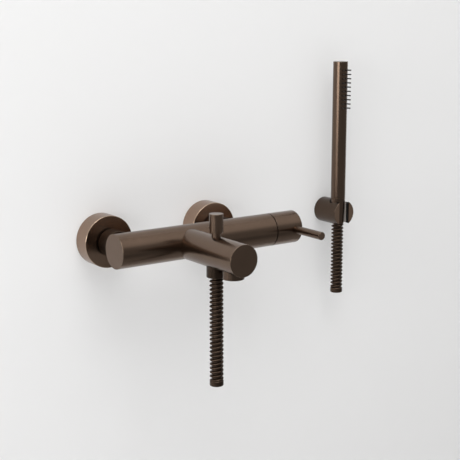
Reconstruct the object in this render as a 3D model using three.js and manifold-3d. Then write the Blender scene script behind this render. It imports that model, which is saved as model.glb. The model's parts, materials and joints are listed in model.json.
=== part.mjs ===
// Wall-mounted bath mixer with a pull-up diverter in its spout, a slim stick
// hand shower in a slotted wall bracket, and a short corrugated hose on each.
//
// Millimetres. The origin is on the wall, midway between the two inlets and at
// the height of the body's axis. +X runs along the wall to the control end,
// +Y goes into the wall and +Z is up, so everything in the room has y < 0.
// "Out" below is a distance from the wall into the room, which is -y.

import * as THREE from 'three';
import { mergeVertices } from 'three/addons/utils/BufferGeometryUtils.js';
import Module from 'manifold-3d';

const wasm = await Module();
wasm.setup();

// ---------------------------------------------------------------- dimensions

const GAP = 0.3; // between two pieces that touch
const WALL = 3.4; // the cast brass shells

// inlets and escutcheons
const INLET_CENTRES = 150;
const ESCUTCHEON = { radius: 31.5, depth: 23.6, skin: 1.8 };
const UNION_OFFSET = 12.5; // how far the wall thread sits below the body's axis
const WALL_THREAD = { radius: 10.4, bore: 6.5, into: 18 }; // G1/2
const BODY_THREAD = { radius: 13, bore: 8.5, out: 38 }; // G3/4
const UNION_NUT = { radius: 16.5, from: 27, to: 46, lip: 3.1 };
const SPIGOT = { radius: 10.6, collar: 12.8, bore: 8 };
const INLET_WASHER = { radius: 12.6, bore: 8.5, thickness: 1.6 };

// mixer body
const BODY = { radius: 20.4, out: 74.25, left: -96.7 };
const BORE = BODY.radius - WALL;
const SEAM = { at: 122.5, gap: 1.0 };
const CAP_END = 161;
const TUBE = { radius: 5, skin: 1, offset: 8.5 }; // the two inner water tubes
const BULKHEAD = { at: 56, thickness: 4 };
const CARTRIDGE = { radius: 14, from: 94.3, to: 116, socket: 6.3 };
const SPINDLE_RADIUS = 5;
const LEVER = { x: 151.85, radius: 5, out: 143.6, stud: 3 };

// spout, diverter, aerator
const SPOUT = { radius: 18.6, out: 192.2, z: -1.3, bore: 15.4 };
const CONNECTOR = { radius: 14.3, bore: 11.5 };
const DIVERTER = { out: 138.2, knob: 8.1, bottom: 21.8, top: 43.75, neck: 5.5, stem: 3 };
const OUTLET_NUT = { radius: 11.5, bottom: -30, top: -12 };
const AERATOR = { out: 172, radius: 12.4, bottom: -25.3 };

// hand shower and its bracket
const BRACKET = { x: 274.8, z: -0.85, radius: 16.9, out: 42.7 };
const SLOT = { width: 16.6, lip: 1.3 };
const LINER_SKIN = 1.2;
const HANDSET = { out: 29.5, radius: 9.73, skin: 1.23, top: 201.5 };
const CONE = { top: 18.6, bottom: -16.2, tip: 8.3 };
const NOZZLES = { count: 10, low: 140.5, high: 190.4, radius: 0.85, reach: 16, spread: 20 };

// hoses: the middle of each one's route from its nut to its end ferrule
const HOSE_RADIUS = 8.15;
const FERRULE_HEIGHT = 6.7;
const BATH_HOSE_Z = [
  -30.3, -39, -48, -57, -66, -75, -84, -93, -102, -111, -120, -129, -138, -146, -153.3,
];
const HANDSET_HOSE_Z = [
  -16.5, -23, -29.5, -36, -42.5, -49, -55.5, -62, -68.5, -75, -81.5, -88, -94, -100, -105.6,
];

// ---------------------------------------------------------------- materials

const finish = (color, roughness, metalness) =>
  new THREE.MeshStandardMaterial({ color, roughness, metalness });
const bronze = finish(0x5c4f44, 0.38, 1);
const hoseBronze = finish(0x3a2e26, 0.42, 1);
const brass = finish(0xb08d4a, 0.35, 1);
const steel = finish(0xa9abad, 0.3, 1);
const rubber = finish(0x1b1b1c, 0.8, 0);
const black = finish(0x0d0d0e, 0.5, 0);
const nylon = finish(0xd8d6cf, 0.55, 0);

// ------------------------------------------------------------------- shapes

const SIDES = 24; // round pieces over about 12 mm in radius
const FEW = 16; // smaller ones
const NOZZLE_SIDES = 8;

// Merges shared corners, drops collapsed faces and turns the faces outwards.
function closed(geometry) {
  const bare = geometry.clone();
  bare.deleteAttribute('normal');
  bare.deleteAttribute('uv');
  const merged = mergeVertices(bare, 1e-4);
  const index = Array.from(merged.index.array);
  const faces = [];
  let volume = 0;
  const p = [0, 1, 2].map(() => new THREE.Vector3());
  for (let i = 0; i < index.length; i += 3) {
    const [a, b, c] = index.slice(i, i + 3);
    if (a === b || b === c || c === a) continue;
    faces.push([a, b, c]);
    [a, b, c].forEach((v, k) => p[k].fromBufferAttribute(merged.attributes.position, v));
    volume += p[0].dot(p[1].clone().cross(p[2]));
  }
  merged.setIndex((volume < 0 ? faces.map(([a, b, c]) => [a, c, b]) : faces).flat());
  return merged;
}

const solid = (geometry) => {
  const shape = closed(geometry);
  return new wasm.Manifold(
    new wasm.Mesh({
      numProp: 3,
      vertProperties: Float32Array.from(shape.attributes.position.array),
      triVerts: Uint32Array.from(shape.index.array),
    }),
  );
};

function fromSolid(body) {
  const mesh = body.getMesh();
  const geometry = new THREE.BufferGeometry();
  geometry.setAttribute('position', new THREE.BufferAttribute(mesh.vertProperties, 3));
  geometry.setIndex(new THREE.BufferAttribute(mesh.triVerts, 1));
  return geometry;
}

const cut = (geometry, ...tools) =>
  fromSolid(tools.reduce((body, tool) => body.subtract(solid(tool)), solid(geometry)));
const join = (...pieces) =>
  fromSolid(pieces.map((piece) => solid(piece)).reduce((a, b) => a.add(b)));
const common = (a, b) => fromSolid(solid(a).intersect(solid(b)));

// A turned piece from [radius, distance along the axis] corners.
const turned = (corners, sides = SIDES) =>
  new THREE.LatheGeometry(corners.map(([r, along]) => new THREE.Vector2(r, along)), sides);
const rod = (radius, from, to, sides = SIDES) =>
  turned([[0, from], [radius, from], [radius, to], [0, to]], sides);
const tube = (radius, bore, from, to, sides = SIDES) =>
  turned([[bore, from], [radius, from], [radius, to], [bore, to], [bore, from]], sides);

// The three ways that a turned piece's axis can point.
const alongX = (geometry) => geometry.rotateZ(-Math.PI / 2);
const outOfWall = (geometry) => geometry.rotateX(Math.PI);
const upright = (geometry) => geometry.rotateX(Math.PI / 2);

const box = (low, high) =>
  new THREE.BoxGeometry(high[0] - low[0], high[1] - low[1], high[2] - low[2]).translate(
    (low[0] + high[0]) / 2,
    (low[1] + high[1]) / 2,
    (low[2] + high[2]) / 2,
  );

// ------------------------------------------------------------------ assembly

const faucet = new THREE.Group();

function place(parent, name, geometry, material) {
  const mesh = new THREE.Mesh(closed(geometry), material);
  mesh.name = name;
  parent.add(mesh);
  return mesh;
}

function groupAt(x, y, z) {
  const group = new THREE.Group();
  group.position.set(x, y, z);
  faucet.add(group);
  return group;
}

// -------------------------------------------------------- inlets (two alike)

// A flat plate with round ends, standing off the wall: the crank of the union.
function crankPlate(radius, from, to) {
  const shape = new THREE.Shape();
  shape.absarc(0, 0, radius, 0, Math.PI, false);
  shape.absarc(0, -UNION_OFFSET, radius, Math.PI, 2 * Math.PI, false);
  const plate = new THREE.ExtrudeGeometry(shape, {
    depth: to - from,
    bevelEnabled: false,
    curveSegments: FEW / 2,
  });
  return plate.rotateX(Math.PI / 2).translate(0, -from, 0);
}

function eccentricUnion() {
  const below = (geometry) => geometry.translate(0, 0, -UNION_OFFSET);
  const crank = { from: 4, to: 11 };
  const outside = join(
    below(outOfWall(rod(WALL_THREAD.radius, -WALL_THREAD.into, crank.from + 1, FEW))),
    crankPlate(BODY_THREAD.radius, crank.from, crank.to),
    outOfWall(rod(BODY_THREAD.radius, crank.to - 1, BODY_THREAD.out)),
  );
  return cut(
    outside,
    below(outOfWall(rod(WALL_THREAD.bore, -WALL_THREAD.into - 1, crank.from + 4, FEW))),
    crankPlate(WALL_THREAD.bore, crank.from + 2, crank.to - 2),
    outOfWall(rod(BODY_THREAD.bore, crank.to - 3, BODY_THREAD.out + 1, FEW)),
  );
}

function escutcheon() {
  const { radius, depth, skin } = ESCUTCHEON;
  const hole = BODY_THREAD.radius + GAP;
  const boss = { radius: hole + 2.7, from: 12.5 };
  return outOfWall(
    turned([
      [hole, depth],
      [hole, boss.from],
      [boss.radius, boss.from],
      [boss.radius, depth - skin],
      [radius - skin, depth - skin],
      [radius - skin, 0],
      [radius, 0],
      [radius, depth],
      [hole, depth],
    ]),
  );
}

function unionNut() {
  const { radius, from, to, lip } = UNION_NUT;
  const thread = BODY_THREAD.radius + GAP;
  const neck = SPIGOT.radius + GAP;
  return outOfWall(
    turned([
      [thread, from],
      [radius, from],
      [radius, to],
      [neck, to],
      [neck, to - lip],
      [thread, to - lip],
      [thread, from],
    ]),
  );
}

function inletSpigot(from, collarEnd, to) {
  return outOfWall(
    turned(
      [
        [SPIGOT.bore, from],
        [SPIGOT.collar, from],
        [SPIGOT.collar, collarEnd],
        [SPIGOT.radius, collarEnd],
        [SPIGOT.radius, to],
        [SPIGOT.bore, to],
        [SPIGOT.bore, from],
      ],
      FEW,
    ),
  );
}

function addInlet(side, x) {
  const group = groupAt(x, 0, 0);
  const seat = BODY_THREAD.out + GAP; // where the washer starts
  const collarEnd = UNION_NUT.to - UNION_NUT.lip - GAP;
  const washerEnd = seat + INLET_WASHER.thickness;
  const inside = BODY.out - BORE + 2.2; // how far out the spigot reaches into the body
  const strainer = { radius: 8.2, skin: 0.8, from: 31 };
  place(group, `escutcheon_${side}`, escutcheon(), bronze);
  place(group, `eccentric_union_${side}`, eccentricUnion(), brass);
  place(group, `union_nut_${side}`, unionNut(), bronze);
  place(
    group,
    `inlet_washer_${side}`,
    outOfWall(tube(INLET_WASHER.radius, INLET_WASHER.bore, seat, washerEnd, FEW)),
    rubber,
  );
  place(
    group,
    `inlet_strainer_${side}`,
    outOfWall(
      turned(
        [
          [0, strainer.from],
          [strainer.radius, strainer.from],
          [strainer.radius, seat - 2 * GAP],
          [strainer.radius - strainer.skin, seat - 2 * GAP],
          [strainer.radius - strainer.skin, strainer.from + strainer.skin],
          [0, strainer.from + strainer.skin],
        ],
        FEW,
      ),
    ),
    steel,
  );
  place(group, `inlet_spigot_${side}`, inletSpigot(washerEnd + GAP, collarEnd, inside), bronze);
  place(
    group,
    `check_valve_${side}`,
    outOfWall(tube(SPIGOT.bore - GAP, 4, collarEnd, inside - 2, FEW)),
    nylon,
  );
}

addInlet('left', -INLET_CENTRES / 2);
addInlet('right', INLET_CENTRES / 2);

// -------------------------------------------------------- body and cartridge

const body = groupAt(0, -BODY.out, 0);
const bodyEnd = SEAM.at - SEAM.gap / 2;
const capStart = SEAM.at + SEAM.gap / 2;
const guide = { radius: 18.3, bore: 17.1, reach: 2.7 }; // the dark ring in the seam

function bodyCasing() {
  const shell = alongX(
    turned([
      [0, BODY.left],
      [BODY.radius, BODY.left],
      [BODY.radius, bodyEnd],
      [guide.radius + GAP, bodyEnd],
      [guide.radius + GAP, bodyEnd - guide.reach - GAP],
      [BORE, bodyEnd - guide.reach - GAP],
      [BORE, BODY.left + 4],
      [0, BODY.left + 4],
    ]),
  );
  const inletHole = outOfWall(rod(SPIGOT.radius + GAP, -BODY.radius - 1, -9, FEW));
  const spoutHole = outOfWall(rod(CONNECTOR.radius + GAP, 9, BODY.radius + 1));
  return cut(
    shell,
    inletHole.clone().translate(-INLET_CENTRES / 2, 0, 0),
    inletHole.clone().translate(INLET_CENTRES / 2, 0, 0),
    spoutHole.translate(0, 0, SPOUT.z),
  );
}

// A disc across the bore, with [y, z, radius] holes, from x = from to x = to.
function boredDisc(radius, from, to, holes) {
  const shape = new THREE.Shape().absarc(0, 0, radius, 0, 2 * Math.PI, false);
  for (const [y, z, r] of holes) {
    shape.holes.push(new THREE.Path().absarc(y, z, r, 0, 2 * Math.PI, true));
  }
  const disc = new THREE.ExtrudeGeometry(shape, {
    depth: to - from,
    bevelEnabled: false,
    curveSegments: FEW / 2,
  });
  // the shape's x and y become world y and z, and its depth runs along world x
  const turn = new THREE.Matrix4().makeBasis(
    new THREE.Vector3(0, 1, 0),
    new THREE.Vector3(0, 0, 1),
    new THREE.Vector3(1, 0, 0),
  );
  return disc.applyMatrix4(turn).translate(from, 0, 0);
}

const hotPort = [0, TUBE.offset, TUBE.radius + GAP];
const mixedPort = [0, -TUBE.offset, TUBE.radius + GAP];
const coldPort = [9.5, 0, 3.5];
const seatFrom = 86.5;
const seatTo = CARTRIDGE.from - GAP;
const bulkheadRadius = BORE - GAP;
const bulkhead = (at, holes) => {
  const half = BULKHEAD.thickness / 2;
  return boredDisc(bulkheadRadius, at - half, at + half, holes);
};
const waterTube = (from, to, z) =>
  alongX(tube(TUBE.radius, TUBE.radius - TUBE.skin, from, to, FEW)).translate(0, 0, z);

place(body, 'body_casing', bodyCasing(), bronze);
place(body, 'hot_feed_tube', waterTube(-BULKHEAD.at - 3, seatTo - 4, TUBE.offset), brass);
place(body, 'mixed_return_tube', waterTube(BULKHEAD.at - 3, seatTo - 4, -TUBE.offset), brass);
place(body, 'hot_bulkhead', bulkhead(-BULKHEAD.at, [hotPort]), brass);
place(body, 'cold_bulkhead', bulkhead(BULKHEAD.at, [hotPort, mixedPort]), brass);
place(
  body,
  'cartridge_seat',
  boredDisc(bulkheadRadius, seatFrom, seatTo, [hotPort, mixedPort, coldPort]),
  brass,
);

const lug = { radius: 16, to: CARTRIDGE.from + 4 };
const ringEnd = lug.to + GAP + 2.4;
place(
  body,
  'ceramic_cartridge',
  alongX(
    turned([
      [0, CARTRIDGE.from],
      [lug.radius, CARTRIDGE.from],
      [lug.radius, lug.to],
      [CARTRIDGE.radius, lug.to],
      [CARTRIDGE.radius, CARTRIDGE.to],
      [CARTRIDGE.socket, CARTRIDGE.to],
      [CARTRIDGE.socket, CARTRIDGE.from + 10],
      [0, CARTRIDGE.from + 10],
    ]),
  ),
  nylon,
);
place(
  body,
  'cartridge_o_ring',
  alongX(tube(bulkheadRadius, CARTRIDGE.radius + GAP, lug.to + GAP, ringEnd)),
  rubber,
);
const cartridgeNut = { bore: 8, from: CARTRIDGE.to + GAP, to: bodyEnd - guide.reach - 2 * GAP };
place(
  body,
  'cartridge_nut',
  alongX(tube(bulkheadRadius, cartridgeNut.bore, cartridgeNut.from, cartridgeNut.to)),
  brass,
);
place(
  body,
  'guide_ring',
  alongX(tube(guide.radius, guide.bore, bodyEnd - guide.reach, capStart + guide.reach)),
  black,
);

// ---------------------------------------------------- control cap and lever

const hub = { radius: 9, from: 131, socketEnd: 150 };
const capFloor = CAP_END - 5;
const grub = { x: 140, radius: 2 };
const studFoot = 8; // the inner end of the lever's stud, from the body's axis

function controlCap() {
  const shell = alongX(
    turned([
      [0, CAP_END],
      [BODY.radius, CAP_END],
      [BODY.radius, capStart],
      [guide.radius + GAP, capStart],
      [guide.radius + GAP, capStart + guide.reach + GAP],
      [BORE, capStart + guide.reach + GAP],
      [BORE, capFloor],
      [hub.radius, capFloor],
      [hub.radius, hub.from],
      [SPINDLE_RADIUS + GAP, hub.from],
      [SPINDLE_RADIUS + GAP, hub.socketEnd],
      [0, hub.socketEnd],
    ]),
  );
  const studHole = outOfWall(rod(LEVER.stud + GAP, studFoot - GAP, BODY.radius + 1, FEW));
  const grubHole = upright(rod(grub.radius + GAP, -BODY.radius - 1, -4, FEW));
  return cut(shell, studHole.translate(LEVER.x, 0, 0), grubHole.translate(grub.x, 0, 0));
}

// The lever's foot is scooped to sit on the round cap.
function leverPin() {
  const chamfer = 0.5;
  const length = LEVER.out - BODY.out;
  const shaft = turned(
    [
      [0, BODY.radius - 6],
      [LEVER.radius, BODY.radius - 6],
      [LEVER.radius, length - chamfer],
      [LEVER.radius - chamfer, length],
      [0, length],
    ],
    SIDES,
  );
  const scooped = cut(outOfWall(shaft), alongX(rod(BODY.radius + GAP, -10, 10)));
  return join(scooped, outOfWall(rod(LEVER.stud, studFoot, BODY.radius + 3, FEW)));
}

place(body, 'control_cap', controlCap(), bronze);
place(body, 'lever_pin', leverPin(), bronze).position.x = LEVER.x;
place(
  body,
  'cartridge_spindle',
  alongX(rod(SPINDLE_RADIUS, CARTRIDGE.from + 11, hub.socketEnd - 2, FEW)),
  steel,
);
place(
  body,
  'cap_grub_screw',
  upright(rod(grub.radius, -11.5, -SPINDLE_RADIUS - GAP, FEW)),
  steel,
).position.x = grub.x;

// ------------------------------------------------------------------- spout

const spout = groupAt(0, -BODY.out, SPOUT.z);
const diverterAt = DIVERTER.out - BODY.out;
const aeratorAt = AERATOR.out - BODY.out;
const spoutLength = SPOUT.out - BODY.out;
const nippleRadius = 9;
const aeratorThread = 11;
const connector = { from: 12.3, shoulder: 24, to: 34 };

function spoutTube() {
  const shell = outOfWall(
    turned([
      [0, spoutLength],
      [SPOUT.radius, spoutLength],
      [SPOUT.radius, 5],
      [SPOUT.bore, 5],
      [SPOUT.bore, spoutLength - 4],
      [0, spoutLength - 4],
    ]),
  );
  const saddle = alongX(rod(BODY.radius + GAP, -25, 25)).translate(0, 0, -SPOUT.z);
  const neckHole = upright(rod(DIVERTER.neck + GAP, 5, SPOUT.radius + 1, FEW));
  const outletHole = upright(rod(nippleRadius + GAP, -SPOUT.radius - 1, -5, FEW));
  const aeratorHole = upright(rod(aeratorThread + GAP, -SPOUT.radius - 1, -5, SIDES));
  return cut(
    shell,
    saddle,
    neckHole.translate(0, -diverterAt, 0),
    outletHole.translate(0, -diverterAt, 0),
    aeratorHole.translate(0, -aeratorAt, 0),
  );
}

place(spout, 'spout_tube', spoutTube(), bronze);
place(
  spout,
  'spout_connector',
  outOfWall(
    turned([
      [CONNECTOR.bore, connector.from],
      [CONNECTOR.radius, connector.from],
      [CONNECTOR.radius, connector.shoulder],
      [SPOUT.bore - GAP, connector.shoulder],
      [SPOUT.bore - GAP, connector.to],
      [CONNECTOR.bore, connector.to],
      [CONNECTOR.bore, connector.from],
    ]),
  ),
  brass,
);

// ------------------------------------------- diverter (heights from the origin)

const diverter = groupAt(0, -DIVERTER.out, 0);
const bonnet = { flange: 8.5, bottom: 8.4, step: 11.2, top: DIVERTER.bottom - GAP };
const spool = { radius: 9, bottom: -8.2, top: -4.2 };
const spring = { radius: 5, bore: 3.8 };
const stemFit = DIVERTER.stem + GAP;
const knobSocketTop = 36;
const stemBottom = -11.2;

function diverterKnob() {
  const chamfer = 0.4;
  const { knob, bottom, top } = DIVERTER;
  return upright(
    turned([
      [0, top],
      [knob - chamfer, top],
      [knob, top - chamfer],
      [knob, bottom + chamfer],
      [knob - chamfer, bottom],
      [stemFit, bottom],
      [stemFit, knobSocketTop],
      [0, knobSocketTop],
    ]),
  );
}

place(
  diverter,
  'diverter_bonnet',
  upright(
    turned(
      [
        [stemFit, bonnet.bottom],
        [bonnet.flange, bonnet.bottom],
        [bonnet.flange, bonnet.step],
        [DIVERTER.neck, bonnet.step],
        [DIVERTER.neck, bonnet.top],
        [stemFit, bonnet.top],
        [stemFit, bonnet.bottom],
      ],
      FEW,
    ),
  ),
  bronze,
);
place(diverter, 'diverter_knob', diverterKnob(), bronze);
place(
  diverter,
  'diverter_stem',
  upright(rod(DIVERTER.stem, stemBottom, knobSocketTop - GAP, FEW)),
  steel,
);
place(
  diverter,
  'diverter_spool',
  upright(tube(spool.radius, stemFit, spool.bottom, spool.top, FEW)),
  brass,
);
place(
  diverter,
  'diverter_washer',
  upright(tube(spool.radius - 0.5, stemFit, stemBottom, spool.bottom - GAP, FEW)),
  rubber,
);
place(
  diverter,
  'diverter_spring',
  upright(tube(spring.radius, spring.bore, spool.top + GAP, bonnet.bottom - GAP, FEW)),
  steel,
);

// ------------------------------------------------ shower outlet and its hose

const nipple = { top: stemBottom - GAP, bottom: -24.5, bore: 6, step: -21.3, thread: 10.2 };
const washer = { top: nipple.bottom - GAP, bottom: nipple.bottom - 1.7 };
const hoseFerrule = {
  flange: 9.5,
  neck: 6.7,
  bore: 4.5,
  top: washer.bottom - GAP,
  step: washer.bottom - GAP - 1.1,
};
const lipTop = hoseFerrule.step - GAP;

function outletNut() {
  const chamfer = 0.8;
  const { radius, bottom, top } = OUTLET_NUT;
  const blank = upright(
    turned([
      [nipple.thread + GAP, top],
      [radius, top],
      [radius, bottom + chamfer],
      [radius - chamfer, bottom],
      [hoseFerrule.neck + GAP, bottom],
      [hoseFerrule.neck + GAP, lipTop],
      [nipple.thread + GAP, lipTop],
      [nipple.thread + GAP, top],
    ]),
  );
  const underSpout = outOfWall(rod(SPOUT.radius + GAP, -20, 20)).translate(0, 0, SPOUT.z);
  return cut(blank, underSpout);
}

place(
  diverter,
  'shower_outlet_nipple',
  upright(
    turned(
      [
        [nipple.bore, nipple.top],
        [nippleRadius, nipple.top],
        [nippleRadius, nipple.step],
        [nipple.thread, nipple.step],
        [nipple.thread, nipple.bottom],
        [nipple.bore, nipple.bottom],
        [nipple.bore, nipple.top],
      ],
      FEW,
    ),
  ),
  brass,
);
place(
  diverter,
  'outlet_check_valve',
  upright(tube(nipple.bore - GAP, 3, nipple.bottom + 1, nipple.top - 1.5, FEW)),
  nylon,
);
place(diverter, 'hose_nut', outletNut(), bronze);
place(
  diverter,
  'hose_washer',
  upright(tube(nipple.thread - 0.4, nipple.bore, washer.bottom, washer.top, FEW)),
  rubber,
);
place(
  diverter,
  'bath_hose_ferrule',
  upright(
    turned(
      [
        [hoseFerrule.bore, hoseFerrule.top],
        [hoseFerrule.flange, hoseFerrule.top],
        [hoseFerrule.flange, hoseFerrule.step],
        [hoseFerrule.neck, hoseFerrule.step],
        [hoseFerrule.neck, OUTLET_NUT.bottom],
        [hoseFerrule.bore, OUTLET_NUT.bottom],
        [hoseFerrule.bore, hoseFerrule.top],
      ],
      FEW,
    ),
  ),
  steel,
);

// A hose hangs straight down through the given heights.
function hose(heights) {
  const route = new THREE.CatmullRomCurve3(heights.map((z) => new THREE.Vector3(0, 0, z)));
  const section = new THREE.Shape().absarc(0, 0, HOSE_RADIUS, 0, 2 * Math.PI, false);
  return new THREE.ExtrudeGeometry(section, {
    steps: 5,
    curveSegments: 6,
    extrudePath: route,
  });
}

function endFerrule(hoseEnd) {
  const top = hoseEnd - GAP;
  const bottom = top - FERRULE_HEIGHT;
  const chamfer = 0.8;
  return upright(
    turned(
      [
        [0, top],
        [HOSE_RADIUS, top],
        [HOSE_RADIUS, bottom + chamfer],
        [HOSE_RADIUS - chamfer, bottom],
        [0, bottom],
      ],
      FEW,
    ),
  );
}

place(diverter, 'bath_hose', hose(BATH_HOSE_Z), hoseBronze);
place(diverter, 'bath_hose_end', endFerrule(BATH_HOSE_Z.at(-1)), hoseBronze);

// ----------------------------------------------------------------- aerator

const aerator = groupAt(0, -AERATOR.out, 0);
const aeratorBore = 10;
const aeratorTop = -9;

function aeratorHousing() {
  const { radius, bottom } = AERATOR;
  const collar = upright(rod(radius, bottom, -10));
  const clear = outOfWall(rod(SPOUT.radius + GAP, -20, 20)).translate(0, 0, SPOUT.z);
  const thread = upright(rod(aeratorThread, bottom + 1, aeratorTop));
  const bore = upright(rod(aeratorBore, bottom - 1, aeratorTop + 1));
  return cut(join(cut(collar, clear), thread), bore);
}

place(aerator, 'aerator_housing', aeratorHousing(), bronze);
place(
  aerator,
  'aerator_insert',
  upright(rod(aeratorBore - GAP, AERATOR.bottom + 1.5, aeratorTop - 1, SIDES)),
  black,
);
place(
  aerator,
  'aerator_washer',
  upright(tube(aeratorThread - GAP, 7.5, aeratorTop + GAP, aeratorTop + 1.8, FEW)),
  rubber,
);

// ----------------------------------------------------------------- bracket

const bracket = groupAt(BRACKET.x, 0, BRACKET.z);
const coneSlope = (HANDSET.radius - CONE.tip) / (CONE.top - CONE.bottom);
const coneRadius = (z) => CONE.tip + (z - CONE.bottom) * coneSlope;
const core = { radius: 11.5, depth: 8, screw: 2.2, head: 4.4 };

// An upright cone about the hand shower's axis, margin wider than the nut in it.
const seatCone = (margin) => {
  const low = -BRACKET.radius - 2;
  const high = BRACKET.radius + 2;
  const radiusAt = (z) => coneRadius(z + BRACKET.z) + margin;
  const cone = turned([[0, low], [radiusAt(low), low], [radiusAt(high), high], [0, high]]);
  return upright(cone).translate(0, -HANDSET.out, 0);
};

const tall = BRACKET.radius + 3;
const slotCut = (width, to) => box([-width / 2, -to, -tall], [width / 2, -HANDSET.out, tall]);
const linerFront = BRACKET.out - SLOT.lip - GAP;
const linerOut = LINER_SKIN + GAP; // from the seat's face to the liner's outer face

function bracketBody() {
  const blank = outOfWall(rod(BRACKET.radius, 0, BRACKET.out));
  return cut(
    blank,
    seatCone(linerOut + GAP),
    slotCut(SLOT.width + 2 * (LINER_SKIN + GAP), BRACKET.out - SLOT.lip),
    slotCut(SLOT.width, BRACKET.out + 1),
    outOfWall(rod(core.radius + GAP, -1, core.depth + 2 * GAP)),
    upright(rod(grub.radius + GAP, -tall, -8, FEW)).translate(0, -core.depth / 2, 0),
  );
}

// A black liner, open at the front, that the cone nut and the slot run in.
function bracketLiner() {
  const cheeks = slotCut(SLOT.width + 2 * LINER_SKIN, linerFront);
  const blank = join(seatCone(linerOut), cheeks);
  const hollow = cut(blank, seatCone(GAP), slotCut(SLOT.width, BRACKET.out));
  return common(hollow, outOfWall(rod(BRACKET.radius - 0.5, 0, BRACKET.out)));
}

place(bracket, 'bracket_body', bracketBody(), bronze);
place(bracket, 'bracket_liner', bracketLiner(), black);
place(
  bracket,
  'bracket_wall_core',
  outOfWall(tube(core.radius, core.screw + GAP, 0, core.depth - 2, FEW)),
  steel,
);
place(
  bracket,
  'bracket_screw',
  outOfWall(
    turned(
      [
        [0, core.depth],
        [core.head, core.depth],
        [core.head, core.depth - 2 + GAP],
        [core.screw, core.depth - 2 + GAP],
        [core.screw, -22],
        [0, -26],
      ],
      FEW,
    ),
  ),
  steel,
);
place(
  bracket,
  'bracket_grub_screw',
  upright(rod(grub.radius, -16, -core.radius - GAP, FEW)).translate(0, -core.depth / 2, 0),
  steel,
);

// ------------------------------------------------------------- hand shower

const handset = groupAt(BRACKET.x, -HANDSET.out, 0);
const thread = { radius: 7.2, bottom: 3, bore: 5 }; // M15 x 1
const swivel = { flange: 7.1, neck: 6.3, top: 0.6, step: -1.4, bore: 4 };
const handsetBore = HANDSET.radius - HANDSET.skin;
const tubeBottom = CONE.top + GAP;

// One nozzle, or its hole, turned from straight out of the wall by an angle.
function nozzle(radius, from, to, z, angle) {
  return outOfWall(rod(radius, from, to, NOZZLE_SIDES)).rotateZ(angle).translate(0, 0, z);
}

function nozzleGrid(radius, from, to) {
  const pitch = (NOZZLES.high - NOZZLES.low) / (NOZZLES.count - 1);
  const grid = [];
  for (const side of [-1, 1]) {
    for (let i = 0; i < NOZZLES.count; i += 1) {
      const angle = THREE.MathUtils.degToRad(side * NOZZLES.spread);
      grid.push(nozzle(radius, from, to, NOZZLES.low + i * pitch, angle));
    }
  }
  return grid;
}

function handsetTube() {
  const shell = upright(
    turned([
      [0, HANDSET.top],
      [HANDSET.radius, HANDSET.top],
      [HANDSET.radius, tubeBottom],
      [handsetBore, tubeBottom],
      [handsetBore, HANDSET.top - 2],
      [0, HANDSET.top - 2],
    ]),
  );
  return cut(shell, ...nozzleGrid(NOZZLES.radius + 0.25, 6, HANDSET.radius + 2));
}

// A soft pad behind the tube's wall, with every nozzle standing on it.
function nozzleInsert() {
  const margin = 5;
  const pad = { radius: handsetBore - GAP, bore: handsetBore - 1.8, half: 6.2 };
  const low = NOZZLES.low - margin;
  const high = NOZZLES.high + margin;
  const ring = upright(tube(pad.radius, pad.bore, low, high, FEW));
  const front = box([-pad.half, -HANDSET.radius, 0], [pad.half, -3, HANDSET.top]);
  return join(common(ring, front), ...nozzleGrid(NOZZLES.radius, pad.bore + 0.4, NOZZLES.reach));
}

function coneNut() {
  return upright(
    turned([
      [swivel.neck + GAP, CONE.bottom],
      [CONE.tip, CONE.bottom],
      [HANDSET.radius, CONE.top],
      [thread.radius + GAP, CONE.top],
      [thread.radius + GAP, swivel.step - GAP],
      [swivel.neck + GAP, swivel.step - GAP],
      [swivel.neck + GAP, CONE.bottom],
    ]),
  );
}

place(handset, 'handset_tube', handsetTube(), bronze);
place(handset, 'nozzle_insert', nozzleInsert(), black);
place(
  handset,
  'handset_nipple',
  upright(
    turned(
      [
        [thread.bore, thread.bottom],
        [thread.radius, thread.bottom],
        [thread.radius, tubeBottom],
        [handsetBore - GAP, tubeBottom],
        [handsetBore - GAP, tubeBottom + 12],
        [thread.bore, tubeBottom + 12],
        [thread.bore, thread.bottom],
      ],
      FEW,
    ),
  ),
  brass,
);
place(
  handset,
  'handset_washer',
  upright(tube(swivel.flange, swivel.bore + 0.5, swivel.top + GAP, thread.bottom - GAP, FEW)),
  rubber,
);
place(handset, 'cone_nut', coneNut(), bronze);
place(
  handset,
  'handset_hose_ferrule',
  upright(
    turned(
      [
        [swivel.bore, swivel.top],
        [swivel.flange, swivel.top],
        [swivel.flange, swivel.step],
        [swivel.neck, swivel.step],
        [swivel.neck, CONE.bottom],
        [swivel.bore, CONE.bottom],
        [swivel.bore, swivel.top],
      ],
      FEW,
    ),
  ),
  steel,
);
place(handset, 'handset_hose', hose(HANDSET_HOSE_Z), hoseBronze);
place(handset, 'handset_hose_end', endFerrule(HANDSET_HOSE_Z.at(-1)), hoseBronze);

export default faucet;
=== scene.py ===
"""The looks of a wall-mounted bath mixer with a stick hand shower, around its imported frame.

Shapes are in millimetres, in the frame's own axes: the wall is y = 0, the room is y < 0, z is up.
Every surface of revolution is turned from a short outline whose corners carry their own edge radius.
"""

import itertools
import json
import math

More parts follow.
